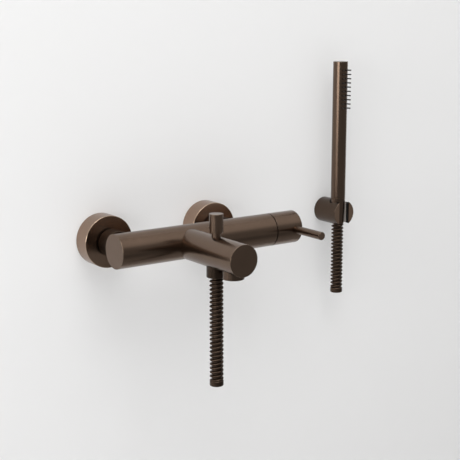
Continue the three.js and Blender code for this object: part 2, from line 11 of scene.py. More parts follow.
import bpy
import numpy as np
from mathutils import Euler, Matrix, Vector


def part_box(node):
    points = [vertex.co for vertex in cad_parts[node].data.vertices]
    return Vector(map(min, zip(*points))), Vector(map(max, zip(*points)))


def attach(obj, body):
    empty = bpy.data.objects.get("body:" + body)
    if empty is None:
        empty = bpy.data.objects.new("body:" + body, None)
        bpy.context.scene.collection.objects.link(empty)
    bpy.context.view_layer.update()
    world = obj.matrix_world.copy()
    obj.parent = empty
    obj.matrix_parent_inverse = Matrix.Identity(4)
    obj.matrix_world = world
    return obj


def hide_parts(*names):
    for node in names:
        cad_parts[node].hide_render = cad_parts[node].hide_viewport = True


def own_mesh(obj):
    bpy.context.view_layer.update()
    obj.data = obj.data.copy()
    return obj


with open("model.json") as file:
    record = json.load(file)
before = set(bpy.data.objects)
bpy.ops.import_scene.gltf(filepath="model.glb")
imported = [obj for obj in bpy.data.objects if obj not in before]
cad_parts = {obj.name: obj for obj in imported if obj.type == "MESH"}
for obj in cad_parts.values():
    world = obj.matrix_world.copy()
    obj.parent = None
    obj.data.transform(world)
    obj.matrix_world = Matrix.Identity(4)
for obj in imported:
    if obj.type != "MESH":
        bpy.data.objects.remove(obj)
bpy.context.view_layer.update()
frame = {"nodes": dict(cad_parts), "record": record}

MM = 0.001

# ---------------------------------------------------------------- the frame's own sizes


def span(node, axis):
    """The lowest and highest coordinate of a CAD node along an axis, in millimetres."""
    low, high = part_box(node)
    at = "xyz".index(axis)
    return low[at] / MM, high[at] / MM


def middle(node, axis):
    return sum(span(node, axis)) / 2


def half(node, axis):
    low, high = span(node, axis)
    return (high - low) / 2


ESCUTCHEON_OUT = -span("escutcheon_left", "y")[0]
INLETS = [middle("escutcheon_" + side, "x") for side in ("left", "right")]
SPIGOT_RADIUS = 10.6
GAP = 0.3  # between two pieces that touch
WALL = 3.4  # the cast brass shells

BODY_OUT = -middle("body_casing", "y")
BODY_RADIUS = half("body_casing", "z")
SEAM_OPEN = 0.25  # each side of the seam stops this far short of its node, for a dark line
BODY_LEFT, BODY_END = span("body_casing", "x")
BODY_END -= SEAM_OPEN
CAP_START, CAP_END = span("control_cap", "x")
CAP_START += SEAM_OPEN
BORE = BODY_RADIUS - WALL
GUIDE_RADIUS = half("guide_ring", "z")
GUIDE_REACH = 2.7

LEVER_X = middle("lever_pin", "x")
LEVER_RADIUS = half("lever_pin", "x")
LEVER_OUT = -span("lever_pin", "y")[0]
LEVER_STUD = 3
GRUB_X = middle("cap_grub_screw", "x")
GRUB_RADIUS = 2

SPOUT_Z = middle("spout_tube", "z")
SPOUT_RADIUS = half("spout_tube", "x")
SPOUT_OUT = -span("spout_tube", "y")[0]
SPOUT_BORE = SPOUT_RADIUS - 3.2
CONNECTOR_RADIUS = 14.3

DIVERTER_OUT = -middle("diverter_knob", "y")
KNOB_RADIUS = half("diverter_knob", "x")
KNOB_BOTTOM, KNOB_TOP = span("diverter_knob", "z")
STEM_RADIUS = half("diverter_stem", "x")
BONNET_BOTTOM, BONNET_TOP = span("diverter_bonnet", "z")
NECK_RADIUS = 5.5
OUTLET_NUT_RADIUS = half("hose_nut", "x")
OUTLET_NUT_BOTTOM = span("hose_nut", "z")[0]
NIPPLE_RADIUS = 9
NIPPLE_THREAD = 10.2

AERATOR_OUT = -middle("aerator_housing", "y")
AERATOR_RADIUS = half("aerator_housing", "x")
AERATOR_BOTTOM, AERATOR_TOP = span("aerator_housing", "z")
AERATOR_BORE = 10
AERATOR_THREAD = 11

BRACKET_X = middle("bracket_body", "x")
BRACKET_Z = middle("bracket_body", "z")
BRACKET_RADIUS = half("bracket_body", "x")
BRACKET_OUT = -span("bracket_body", "y")[0]
SLOT_WIDTH = 16.6
SLOT_LIP = 1.3
LINER_SKIN = 1.2
BLACK_FRONT_OUT = 36.8  # where the liner's painted highlight band and brown seat end and its black front begins
CORE_RADIUS = half("bracket_wall_core", "x")

HANDSET_OUT = -middle("handset_tube", "y")
HANDSET_RADIUS = half("handset_tube", "x")
HANDSET_BOTTOM, HANDSET_TOP = span("handset_tube", "z")
HANDSET_BORE = HANDSET_RADIUS - 1.23
CONE_BOTTOM, CONE_TOP = span("cone_nut", "z")
CONE_TIP = 8.3
NOZZLES = 10  # in each of the two rows
NOZZLE_LOW, NOZZLE_HIGH = 140.5, 190.4
NOZZLE_HOLE = 1.15
NOZZLE_REACH = 16  # from the hand shower's axis to a nozzle's tip
NOZZLE_ANGLE = 20  # of each row, from straight out of the wall, in degrees

HOSE_CREST = 8.15
HOSE_VALLEY = 5.5
HOSE_PITCH = 4.95
HOSE_RIDGE = 0.68  # a ridge's foot, as a share of the pitch
BATH_HOSE_Z = [
    -30.3, -39, -48, -57, -66, -75, -84, -93, -102, -111, -120, -129, -138, -146, -153.3,
]
HANDSET_HOSE_Z = [
    -16.5, -23, -29.5, -36, -42.5, -49, -55.5, -62, -68.5, -75, -81.5, -88, -94, -100, -105.6,
]

# ---------------------------------------------------------------- camera

CAMERA_PLACE = (-0.69942, -1.15601, 0.27848)
CAMERA_DOWN = 11.610
CAMERA_TURN = 35.219
CAMERA_LENS = 86.88


def add_camera():
    data = bpy.data.cameras.new("camera")
    data.sensor_width = 36
    data.lens = CAMERA_LENS
    camera = loose_object(data)
    camera.location = CAMERA_PLACE
    camera.rotation_euler = Euler((math.radians(90 - CAMERA_DOWN), 0, math.radians(-CAMERA_TURN)))
    bpy.context.scene.camera = camera


# ---------------------------------------------------------------- mesh tools

# the three ways a turned piece's axis can point: (across, up, along), with across x up = along
ALONG_X = (Vector((0, 1, 0)), Vector((0, 0, 1)), Vector((1, 0, 0)))
OUT_OF_WALL = (Vector((1, 0, 0)), Vector((0, 0, 1)), Vector((0, -1, 0)))
UPRIGHT = (Vector((1, 0, 0)), Vector((0, 1, 0)), Vector((0, 0, 1)))
FINE = 160
MEDIUM = 96
SMALL = 48
ARC_STEPS = 4
SMOOTH_BELOW = math.radians(34)
HOLD = 0.06  # how far beyond an edge's arc the outline is held straight


def corner_arc(before, corner, after, radius):
    """The points that round one corner of an outline off, with one holding point on either side."""
    corner = np.array(corner, float)
    back = np.array(before, float) - corner
    ahead = np.array(after, float) - corner
    room = min(np.linalg.norm(back), np.linalg.norm(ahead)) / 2
    back /= np.linalg.norm(back)
    ahead /= np.linalg.norm(ahead)
    inside = math.acos(np.clip(back @ ahead, -1, 1))
    reach = min(radius / math.tan(inside / 2), room - HOLD)
    radius = reach * math.tan(inside / 2)
    bisector = (back + ahead) / np.linalg.norm(back + ahead)
    centre = corner + bisector * radius / math.sin(inside / 2)
    first = corner + back * reach - centre
    last = corner + ahead * reach - centre
    swing = math.pi - inside
    points = [corner + back * (reach + HOLD)]
    for i in range(ARC_STEPS + 1):
        share = i / ARC_STEPS
        weights = math.sin((1 - share) * swing), math.sin(share * swing)
        points.append(centre + (weights[0] * first + weights[1] * last) / math.sin(swing))
    points.append(corner + ahead * (reach + HOLD))
    return points


def rounded(corners):
    """An outline's (radius, along) points and each one's share of the seat that its piece sits on.

    A corner is (radius, along), with an edge radius and then a share of the seat where it has them.
    """
    closed = corners[0][0] > 0
    points, shares = [], []
    for i, corner in enumerate(corners):
        edge = corner[2] if len(corner) > 2 else 0
        share = corner[3] if len(corner) > 3 else 0
        if edge and (closed or 0 < i < len(corners) - 1):
            after = corners[(i + 1) % len(corners)]
            new = corner_arc(corners[i - 1][:2], corner[:2], after[:2], edge)
        else:
            new = [corner[:2]]
        points.extend(new)
        shares.extend([share] * len(new))
    return points, shares, closed


def numbers(items, name, width=1, kind=float):
    """One property of every item of a mesh, as rows of an array."""
    values = np.empty(len(items) * width, kind)
    items.foreach_get(name, values)
    return values.reshape(-1, width) if width > 1 else values


def placed(way, origin, across, up, along):
    """Points at three distances from an origin along a way's directions."""
    steps = np.stack(np.broadcast_arrays(across, up, along), -1)
    return np.array(origin, float) + steps @ np.array(way, float)


def new_mesh(name, points, faces):
    """A mesh from points in millimetres, with its faces turned outwards."""
    points = (np.asarray(points, float) * MM).tolist()
    mesh = bpy.data.meshes.new(name)
    mesh.from_pydata(points, [], faces)
    mesh.update()
    leaning = np.sum(numbers(mesh.polygons, "center", 3) * numbers(mesh.polygons, "normal", 3), axis=1)
    if np.sum(leaning * numbers(mesh.polygons, "area")) < 0:
        mesh.clear_geometry()
        mesh.from_pydata(points, [], [face[::-1] for face in faces])
        mesh.update()
    return mesh


def turned(name, way, origin, corners, sides=FINE, seat=None):
    """A piece turned about an axis through origin. seat(across, up) gives how far along the axis
    the surface lies that the piece sits on, and is added to the corners with a seat share."""
    outline, shares, closed = rounded(corners)
    angles = 2 * np.pi * np.arange(sides) / sides
    points, rings = [], []
    for (radius, at), share in zip(outline, shares):
        count = sides if radius > 1e-6 else 1
        start = rings[-1][-1] + 1 if rings else 0
        rings.append(range(start, start + count))
        u, v = radius * np.cos(angles[:count]), radius * np.sin(angles[:count])
        lift = share * seat(u, v) if share else 0
        points.append(placed(way, origin, u, v, at + lift))
    faces = []
    pairs = list(zip(rings, rings[1:]))
    if closed:
        pairs.append((rings[-1], rings[0]))
    for a, b in pairs:
        for i in range(sides):
            j = (i + 1) % sides
            ring = [a[i % len(a)], a[j % len(a)], b[j % len(b)], b[i % len(b)]]
            face = list(dict.fromkeys(ring))
            if len(face) > 2:
                faces.append(face)
    return new_mesh(name, np.concatenate(points), faces)


def rod(way, origin, radius, start, end, sides=FINE):
    return turned("rod", way, origin, [(0, start), (radius, start), (radius, end), (0, end)], sides)


def block(low, high):
    points = list(itertools.product(*zip(low, high)))
    faces = [(0, 1, 3, 2), (4, 6, 7, 5), (0, 4, 5, 1), (2, 3, 7, 6), (0, 2, 6, 4), (1, 5, 7, 3)]
    return new_mesh("block", points, faces)


def loose_object(data):
    """A new object in the scene, of a mesh, curve, lamp or camera."""
    piece = bpy.data.objects.new(data.name, data)
    bpy.context.scene.collection.objects.link(piece)
    return piece


def evaluated(piece):
    """The mesh that an object becomes with its modifiers and fill worked out."""
    bpy.context.view_layer.update()
    graph = bpy.context.evaluated_depsgraph_get()
    return bpy.data.meshes.new_from_object(piece.evaluated_get(graph), depsgraph=graph)


def combined(mesh, how, tools):
    """The mesh cut by, joined to or kept within each tool mesh."""
    piece = loose_object(mesh)
    helpers = [loose_object(tool) for tool in tools]
    for helper in helpers:
        modifier = piece.modifiers.new("combine", "BOOLEAN")
        modifier.operation = how
        modifier.solver = "EXACT"
        modifier.object = helper
    result = evaluated(piece)
    result.name = mesh.name
    for helper in [piece, *helpers]:
        bpy.data.objects.remove(helper)
    return result


def cut(mesh, *tools):
    return combined(mesh, "DIFFERENCE", tools)


def merged(name, meshes):
    """Several separate bodies in one mesh."""
    points, faces = [], []
    start = 0
    for mesh in meshes:
        points.append(numbers(mesh.vertices, "co", 3) / MM)
        faces.extend([start + i for i in polygon.vertices] for polygon in mesh.polygons)
        start += len(mesh.vertices)
    return new_mesh(name, np.concatenate(points), faces)


def helical(name, way, origin, start, end, pitch, radius_at, bore=0, sides=SMALL, rows=20):
    """A bar or tube whose outside follows a right-handed screw. radius_at(phase, along) gives its
    radius, where the phase goes from 0 to 1 over each turn."""
    count = max(2, round((end - start) / pitch * rows))
    turns = np.arange(sides) / sides
    along = np.linspace(start, end, count + 1)[:, None]
    radius = radius_at((along / pitch - turns) % 1, along)
    cosines, sines = np.cos(2 * np.pi * turns), np.sin(2 * np.pi * turns)
    points = [placed(way, origin, radius * cosines, radius * sines, along).reshape(-1, 3)]
    first = (np.arange(count)[:, None] * sides + np.arange(sides)).ravel()
    second = (np.arange(count)[:, None] * sides + np.roll(np.arange(sides), -1)).ravel()
    faces = np.stack([first, second, second + sides, first + sides], -1).tolist()
    inner = (count + 1) * sides
    last = count * sides
    if bore:
        points += [placed(way, origin, bore * cosines, bore * sines, at) for at in (start, end)]
    else:
        points += [placed(way, origin, [0], [0], at) for at in (start, end)]
    for i in range(sides):
        k = (i + 1) % sides
        if bore:
            faces.append([i, inner + i, inner + k, k])
            faces.append([last + i, last + k, inner + sides + k, inner + sides + i])
            faces.append([inner + i, inner + sides + i, inner + sides + k, inner + k])
        else:
            faces.append([k, i, inner])
            faces.append([last + i, last + k, inner + 1])
    return new_mesh(name, np.concatenate(points), faces)


def swept(name, path, radius, sides=12):
    """A round bar along a smooth path of points, with flat ends."""
    path = [Vector(p) for p in path]
    points, faces = [], []
    side = Vector((0, 0, 1))
    for i, here in enumerate(path):
        ahead = (path[min(i + 1, len(path) - 1)] - path[max(i - 1, 0)]).normalized()
        side = (side - ahead * side.dot(ahead)).normalized()
        other = ahead.cross(side)
        for k in range(sides):
            angle = 2 * math.pi * k / sides
            points.append(here + (side * math.cos(angle) + other * math.sin(angle)) * radius)
    for i in range(len(path) - 1):
        for k in range(sides):
            m = (k + 1) % sides
            a, b = i * sides, (i + 1) * sides
            faces.append([a + k, a + m, b + m, b + k])
    faces.append(list(range(sides))[::-1])
    faces.append(list(range((len(path) - 1) * sides, len(path) * sides)))
    return new_mesh(name, points, faces)


def mark_edges(mesh):
    """Stores how much each point lies on a rounded outer edge, which the bronze lightens, partly for
    the coating wearing thin and partly as a painted highlight.
    """
    normals = numbers(mesh.polygons, "normal", 3)
    centres = numbers(mesh.polygons, "center", 3)
    owners = np.repeat(np.arange(len(mesh.polygons)), numbers(mesh.polygons, "loop_total", 1, np.int32))
    used = numbers(mesh.loops, "edge_index", 1, np.int32)
    order = np.argsort(used, kind="stable")
    edges, starts, uses = np.unique(used[order], return_index=True, return_counts=True)
    edges, starts = edges[uses == 2], starts[uses == 2]
    one, other = owners[order[starts]], owners[order[starts + 1]]
    angle = np.arccos(np.clip(np.sum(normals[one] * normals[other], axis=1), -1, 1))
    outward = np.sum((centres[other] - centres[one]) * normals[one], axis=1) < 0
    bent = (angle > math.radians(9)) & (angle < SMOOTH_BELOW) & outward
    wear_and_glint = np.zeros(len(mesh.vertices), np.float32)
    wear_and_glint[numbers(mesh.edges, "vertices", 2, np.int32)[edges[bent]].ravel()] = 1
    mesh.attributes.new("edge", "FLOAT", "POINT").data.foreach_set("value", wear_and_glint)


def add_piece(mesh, body, material, replaces=()):
    """Puts a finished mesh in the scene as a piece that rides on a body."""
    mesh.polygons.foreach_set("use_smooth", [True] * len(mesh.polygons))
    mesh.set_sharp_from_angle(angle=SMOOTH_BELOW)
    mark_edges(mesh)
    mesh.materials.clear()
    mesh.materials.append(material)
    piece = loose_object(mesh)
    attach(piece, body)
    if replaces:
        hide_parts(*replaces)
    return piece


# ---------------------------------------------------------------- material tools


class Nodes:
    """A short way to write a material's nodes."""

    def __init__(self, name):
        self.material = bpy.data.materials.new(name)
        self.material.use_nodes = True
        self.tree = self.material.node_tree
        self.tree.nodes.clear()
        self.shader = self.add("ShaderNodeBsdfPrincipled")
        out = self.add("ShaderNodeOutputMaterial")
        self.link(self.shader.outputs[0], out.inputs[0])
        self.place = self.add("ShaderNodeTexCoord").outputs["Object"]

    def add(self, kind):
        return self.tree.nodes.new(kind)

    def link(self, source, target):
        self.tree.links.new(source, target)

    def put(self, target, value):
        """Sets a socket to a number, a colour or a vector, or links it to another node's output."""
        if isinstance(value, bpy.types.NodeSocket):
            self.link(value, target)
        else:
            target.default_value = value

    def parts(self, source):
        """A vector's x, y and z."""
        node = self.add("ShaderNodeSeparateXYZ")
        self.link(source, node.inputs[0])
        return node.outputs

    def maths(self, how, a, b=0.0):
        node = self.add("ShaderNodeMath")
        node.operation = how
        self.put(node.inputs[0], a)
        self.put(node.inputs[1], b)
        return node.outputs[0]

    def vector(self, how, a, b=(0, 0, 0)):
        node = self.add("ShaderNodeVectorMath")
        node.operation = how
        self.put(node.inputs[0], a)
        self.put(node.inputs[1], b)
        return node.outputs["Value" if how == "LENGTH" else "Vector"]

    def noise(self, at, scale, detail=2.0, roughness=0.5):
        node = self.add("ShaderNodeTexNoise")
        self.put(node.inputs["Vector"], at)
        node.inputs["Scale"].default_value = scale
        node.inputs["Detail"].default_value = detail
        node.inputs["Roughness"].default_value = roughness
        return node.outputs["Fac"]

    def spread(self, value, low, high, to_low, to_high):
        node = self.add("ShaderNodeMapRange")
        for socket, number in zip(node.inputs[:5], (value, low, high, to_low, to_high)):
            self.put(socket, number)
        return node.outputs[0]

    def beyond(self, out, over):
        """1 farther than out millimetres from the wall, reached over a short distance, and else 0."""
        y = self.parts(self.place)[1]
        return self.spread(y, -out * MM, -(out + over) * MM, 0, 1)

    def mix(self, share, a, b):
        node = self.add("ShaderNodeMix")
        node.data_type = "RGBA"
        self.put(node.inputs[0], share)
        self.put(node.inputs[6], a)
        self.put(node.inputs[7], b)
        return node.outputs[2]

    def attribute(self, name):
        node = self.add("ShaderNodeAttribute")
        node.attribute_name = name
        return node.outputs["Fac"]

    def bump(self, height, distance, strength=1.0):
        node = self.add("ShaderNodeBump")
        node.inputs["Strength"].default_value = strength
        node.inputs["Distance"].default_value = distance
        self.put(node.inputs["Height"], height)
        self.link(node.outputs[0], self.shader.inputs["Normal"])

    def set(self, **sockets):
        for name, value in sockets.items():
            self.put(self.shader.inputs[name.replace("_", " ").title().replace("Ior", "IOR")], value)


def colour(*rgb):
    return (*rgb, 1.0)


SCRATCHES = 3600  # scratches in a metre across them, and how fast they change along them
SCRATCH_DRIFT = 60
AXES = {"x": (0, (1, 2)), "y": (1, (0, 2)), "z": (2, (0, 1))}


def turned_grain(nodes, axis, centre):
    """For a surface turned and brushed about an axis: a coordinate whose first part counts its rings
    and whose other two move slowly round it, which makes a noise into long scratches, and the
    direction that the scratches run in."""
    local = nodes.vector("SUBTRACT", nodes.place, [c * MM for c in centre])
    parts = nodes.parts(local)
    along, (one, two) = AXES[axis]
    flat = nodes.add("ShaderNodeCombineXYZ")
    nodes.link(parts[one], flat.inputs[0])
    nodes.link(parts[two], flat.inputs[1])
    from_axis = nodes.vector("LENGTH", flat.outputs[0])
    ring = nodes.maths("ADD", parts[along], from_axis)
    grain = nodes.add("ShaderNodeCombineXYZ")
    nodes.put(grain.inputs[0], nodes.maths("MULTIPLY", ring, SCRATCHES))
    nodes.put(grain.inputs[1], nodes.maths("MULTIPLY", parts[one], SCRATCH_DRIFT))
    nodes.put(grain.inputs[2], nodes.maths("MULTIPLY", parts[two], SCRATCH_DRIFT))
    round_axis = nodes.vector("CROSS_PRODUCT", [float(i == along) for i in range(3)], local)
    to_world = nodes.add("ShaderNodeVectorTransform")
    to_world.vector_type = "VECTOR"
    to_world.convert_from = "OBJECT"
    to_world.convert_to = "WORLD"
    nodes.link(round_axis, to_world.inputs[0])
    return grain.outputs[0], to_world.outputs[0]


BRONZE = colour(0.149, 0.102, 0.074)
BRONZE_PALE = colour(0.163, 0.112, 0.082)
# lighter bronze for rounded edges: partly the coating wearing thin, partly a painted highlight along
# them
BRONZE_WORN_AND_GLINT = colour(0.290, 0.220, 0.165)


# scales a colour's brightness: used to paint light and shade into a piece's colour
def with_painted_brightness(shade, painted_brightness):
    return colour(*(part * painted_brightness for part in shade[:3]))


def bronze(name, axis, centre, painted_brightness=1.0, face=None, edge_wear_and_glint=0.35):
    """Dark bronze coating over brass, brushed round the axis that the piece was turned on.

    Its brightness factor scales the colour of the whole piece, as painted light and shade on it.
    face is the distance from the wall beyond which the piece's front takes its own brightness,
    painted light and shade on that side. The edge share is how much the rounded edges are
    lightened, partly for the coating wearing thin and partly as a painted highlight.
    """
    nodes = Nodes(name)
    rings, scratches = turned_grain(nodes, axis, centre)
    grain = nodes.noise(rings, 1.0, 3.0, 0.6)
    cloud = nodes.noise(nodes.place, 38.0, 4.0, 0.55)
    smudge = nodes.noise(nodes.place, 160.0, 3.0, 0.6)
    fine, broad = nodes.maths("MULTIPLY", grain, 0.3), nodes.maths("MULTIPLY", cloud, 0.7)
    patina = nodes.maths("ADD", fine, broad)
    age = nodes.spread(patina, 0.35, 0.65, 0, 1)
    # the piece's brightness factor paints light and shade into its colour
    plain = nodes.mix(age, with_painted_brightness(BRONZE, painted_brightness), with_painted_brightness(BRONZE_PALE, painted_brightness))
    # painted light and shade: beyond a distance from the wall the piece's front takes its own
    # brightness
    if face:
        plain = nodes.mix(nodes.beyond(face[0], 0.1), plain, with_painted_brightness(BRONZE_PALE, face[1]))
    # edge lightening: partly the coating wearing thin, partly a painted highlight on the rounded edges
    wear_and_glint = nodes.spread(smudge, 0.35, 0.6, edge_wear_and_glint * 0.7, edge_wear_and_glint)
    rub_and_glint = nodes.maths("MULTIPLY", nodes.attribute("edge"), wear_and_glint)
    rough = nodes.spread(patina, 0.3, 0.7, 0.22, 0.265)
    nodes.set(
        base_color=nodes.mix(rub_and_glint, plain, with_painted_brightness(BRONZE_WORN_AND_GLINT, painted_brightness)),
        metallic=1.0,
        roughness=nodes.maths("SUBTRACT", rough, nodes.maths("MULTIPLY", rub_and_glint, 0.08)),
        anisotropic=0.4,
        anisotropic_rotation=0.25,
        tangent=scratches,
    )
    nodes.bump(grain, 0.000003, 0.5)
    return nodes.material


HOSE_DARK = colour(0.057, 0.039, 0.028)
HOSE_PALE = colour(0.084, 0.058, 0.042)


def hose_bronze():
    """The hose's wound band in dark bronze, with its colour and roughness varied at random."""
    nodes = Nodes("hose_bronze")
    speck = nodes.noise(nodes.place, 900.0, 3.0, 0.6)
    cloud = nodes.noise(nodes.place, 120.0, 2.0)
    nodes.set(
        base_color=nodes.mix(nodes.spread(cloud, 0.3, 0.7, 0, 1), HOSE_DARK, HOSE_PALE),
        metallic=1.0,
        roughness=nodes.spread(speck, 0.3, 0.7, 0.36, 0.46),
    )
    nodes.bump(speck, 0.00001, 0.4)
    return nodes.material


BRASS = colour(0.46, 0.33, 0.15)
BRASS_PALE = colour(0.56, 0.42, 0.20)


def machined(name, dark, pale, low, high, shaded_beyond=None):
    """Bare turned metal, turned to half-tone dark bronze beyond a given distance from the wall: painted
    shade where the union shows between escutcheon and nut.
    """
    nodes = Nodes(name)
    lines = nodes.noise(nodes.vector("MULTIPLY", nodes.place, (900, 900, 900)), 1.0, 3.0, 0.6)
    cloud = nodes.noise(nodes.place, 70.0, 3.0)
    tint = nodes.mix(nodes.spread(cloud, 0.3, 0.7, 0, 1), dark, pale)
    if shaded_beyond:
        # painted shade: half-tone dark bronze beyond that distance
        tint = nodes.mix(nodes.beyond(shaded_beyond, 0.5), tint, with_painted_brightness(BRONZE, 0.5))
    nodes.set(
        base_color=tint,
        metallic=1.0,
        roughness=nodes.spread(lines, 0.3, 0.7, low, high),
    )
    nodes.bump(lines, 0.000012, 0.5)
    return nodes.material


PORES = 700  # in a metre of moulded polymer


def moulded(name, dark, pale, low, high):
    """A moulded polymer or rubber with a fine satin grain."""
    nodes = Nodes(name)
    pores = nodes.noise(nodes.place, PORES, 2.0)
    cloud = nodes.noise(nodes.place, 90.0, 3.0)
    nodes.set(
        base_color=nodes.mix(nodes.spread(cloud, 0.3, 0.7, 0, 1), colour(*dark), colour(*pale)),
        metallic=0.0,
        roughness=nodes.spread(pores, 0.3, 0.7, low, high),
    )
    nodes.bump(pores, 0.00002, 0.5)
    return nodes.material


def liner_black():
    """Black in the slot, with a pale band on the seat's right as a painted highlight and dark brown on
    the rest of the seat.
    """
    nodes = Nodes("liner")
    pores = nodes.noise(nodes.place, PORES, 2.0)
    black = nodes.mix(pores, colour(0.006, 0.006, 0.006), colour(0.014, 0.014, 0.014))
    seat_brown = nodes.mix(pores, colour(0.040, 0.028, 0.020), colour(0.060, 0.043, 0.032))
    # painted highlight: a pale band on the seat's right, standing in for light on the nut's rim beside
    # it
    painted_highlight = nodes.mix(pores, colour(0.62, 0.57, 0.53), colour(0.72, 0.67, 0.62))
    across = nodes.parts(nodes.place)[0]
    right = nodes.spread(across, BRACKET_X * MM, (BRACKET_X + 1) * MM, 0, 1)
    # where the painted highlight goes: right of the bracket's axis, behind the hand shower's axis
    painted_highlight_area = nodes.maths("MULTIPLY", right, nodes.beyond(HANDSET_OUT, 0.2))
    seat_and_highlight = nodes.mix(painted_highlight_area, seat_brown, painted_highlight)
    nodes.set(
        base_color=nodes.mix(nodes.beyond(BLACK_FRONT_OUT, 0.2), seat_and_highlight, black),
        roughness=nodes.spread(pores, 0.3, 0.7, 0.4, 0.55),
    )
    nodes.bump(pores, 0.00002, 0.5)
    return nodes.material


def make_materials():
    outlet = (0, -DIVERTER_OUT, 0)
    stick = (BRACKET_X, -HANDSET_OUT, 0)
    bracket = (BRACKET_X, 0, BRACKET_Z)
    left, right = ((x, 0, 0) for x in INLETS)
    # The brightness factors and front brightnesses below are painted light and shade per piece: unions,
    # outlet nut, aerator, bracket, stick and lever darker; escutcheons, lever end and bracket front
    # lighter.
    return {
        "bronze": bronze("bronze", "x", (0, -BODY_OUT, 0)),
        # the escutcheons take the full edge lightening, a painted highlight on their rim edges
        "bronze_left": bronze("bronze_left", "y", left, 1.9, (ESCUTCHEON_OUT - 0.1, 1.7), 1.0),
        "bronze_right": bronze("bronze_right", "y", right, 2.1, (ESCUTCHEON_OUT - 0.1, 2.6), 1.0),
        "bronze_union_left": bronze("bronze_union_left", "y", left, 0.5),
        "bronze_union_right": bronze("bronze_union_right", "y", right, 0.5),
        "bronze_lever": bronze("bronze_lever", "y", (LEVER_X, 0, 0), 0.85, (LEVER_OUT - 0.2, 1.3)),
        "bronze_spout": bronze("bronze_spout", "y", (0, 0, SPOUT_Z)),
        "bronze_diverter": bronze("bronze_diverter", "z", outlet),
        "bronze_outlet": bronze("bronze_outlet", "z", outlet, 0.3),
        "bronze_aerator": bronze("bronze_aerator", "z", (0, -AERATOR_OUT, 0), 0.7),
        "bronze_bracket": bronze("bronze_bracket", "y", bracket, 0.55, (BRACKET_OUT - 0.2, 1.85)),
        "bronze_stick": bronze("bronze_stick", "z", stick, 0.8),
        "hose": hose_bronze(),
        "brass": machined("brass", BRASS, BRASS_PALE, 0.24, 0.38),
        # the union's outer end is painted dark, as shade in the gap between escutcheon and nut
        "brass_union": machined("brass_union", BRASS, BRASS_PALE, 0.24, 0.38, ESCUTCHEON_OUT - 8),
        "steel": machined("steel", colour(0.38, 0.38, 0.39), colour(0.47, 0.47, 0.48), 0.22, 0.36),
        "rubber": moulded("rubber", (0.016, 0.016, 0.017), (0.026, 0.026, 0.027), 0.7, 0.85),
        "silicone": moulded("silicone", (0.007, 0.006, 0.006), (0.012, 0.011, 0.010), 0.28, 0.38),
        "black_plastic": moulded("black", (0.009, 0.009, 0.009), (0.015, 0.015, 0.015), 0.36, 0.5),
        "liner": liner_black(),
        "nylon": moulded("nylon", (0.62, 0.61, 0.56), (0.72, 0.71, 0.66), 0.45, 0.6),
    }


def paint_frame(materials):
    """Every CAD node that still shows takes its record slot's finish."""
    for part in frame["record"]["subparts"]:
        node = frame["nodes"][part["node"]]
        node.data.materials.clear()
        node.data.materials.append(materials[part["material_slot"]])


# ---------------------------------------------------------------- hoses


def hose_radius(phase, along):
    """Round ridges with an open groove between them."""
    off = np.minimum(1, abs(phase - 0.5) * 2 / HOSE_RIDGE)
    return HOSE_VALLEY + (HOSE_CREST - HOSE_VALLEY) * np.sqrt(1 - off**2)


def hose_end_mesh(name, origin, top, bottom):
    """The pressed collar that closes a hose's lower end."""
    outline = [
        (0, top),
        (HOSE_CREST - 0.7, top, 0.15),
        (HOSE_CREST, top - 0.8, 0.3),
        (HOSE_CREST, bottom, 1.0),
        (4.6, bottom, 0.3),
        (4.2, bottom + 1.4, 0.2),
        (0, bottom + 1.4),
    ]
    return turned(name, UPRIGHT, origin, outline, MEDIUM)


def add_hose(name, origin, route, body, materials):
    end_node = name + "_end"
    bottom, top = span(end_node, "z")
    mesh = helical(name, UPRIGHT, origin, route[-1], route[0], HOSE_PITCH, hose_radius, sides=64)
    hose = add_piece(mesh, body, materials["hose"], [name])
    end_mesh = hose_end_mesh(end_node + "_collar", origin, top, bottom)
    end = add_piece(end_mesh, body, materials["hose"], [end_node])


def add_hoses(materials):
    bath = (0, -DIVERTER_OUT, 0)
    stick = (BRACKET_X, -HANDSET_OUT, 0)
    add_hose("bath_hose", bath, BATH_HOSE_Z, "fixed", materials)
    add_hose("handset_hose", stick, HANDSET_HOSE_Z, "hose_tail", materials)


# ---------------------------------------------------------------- inlets


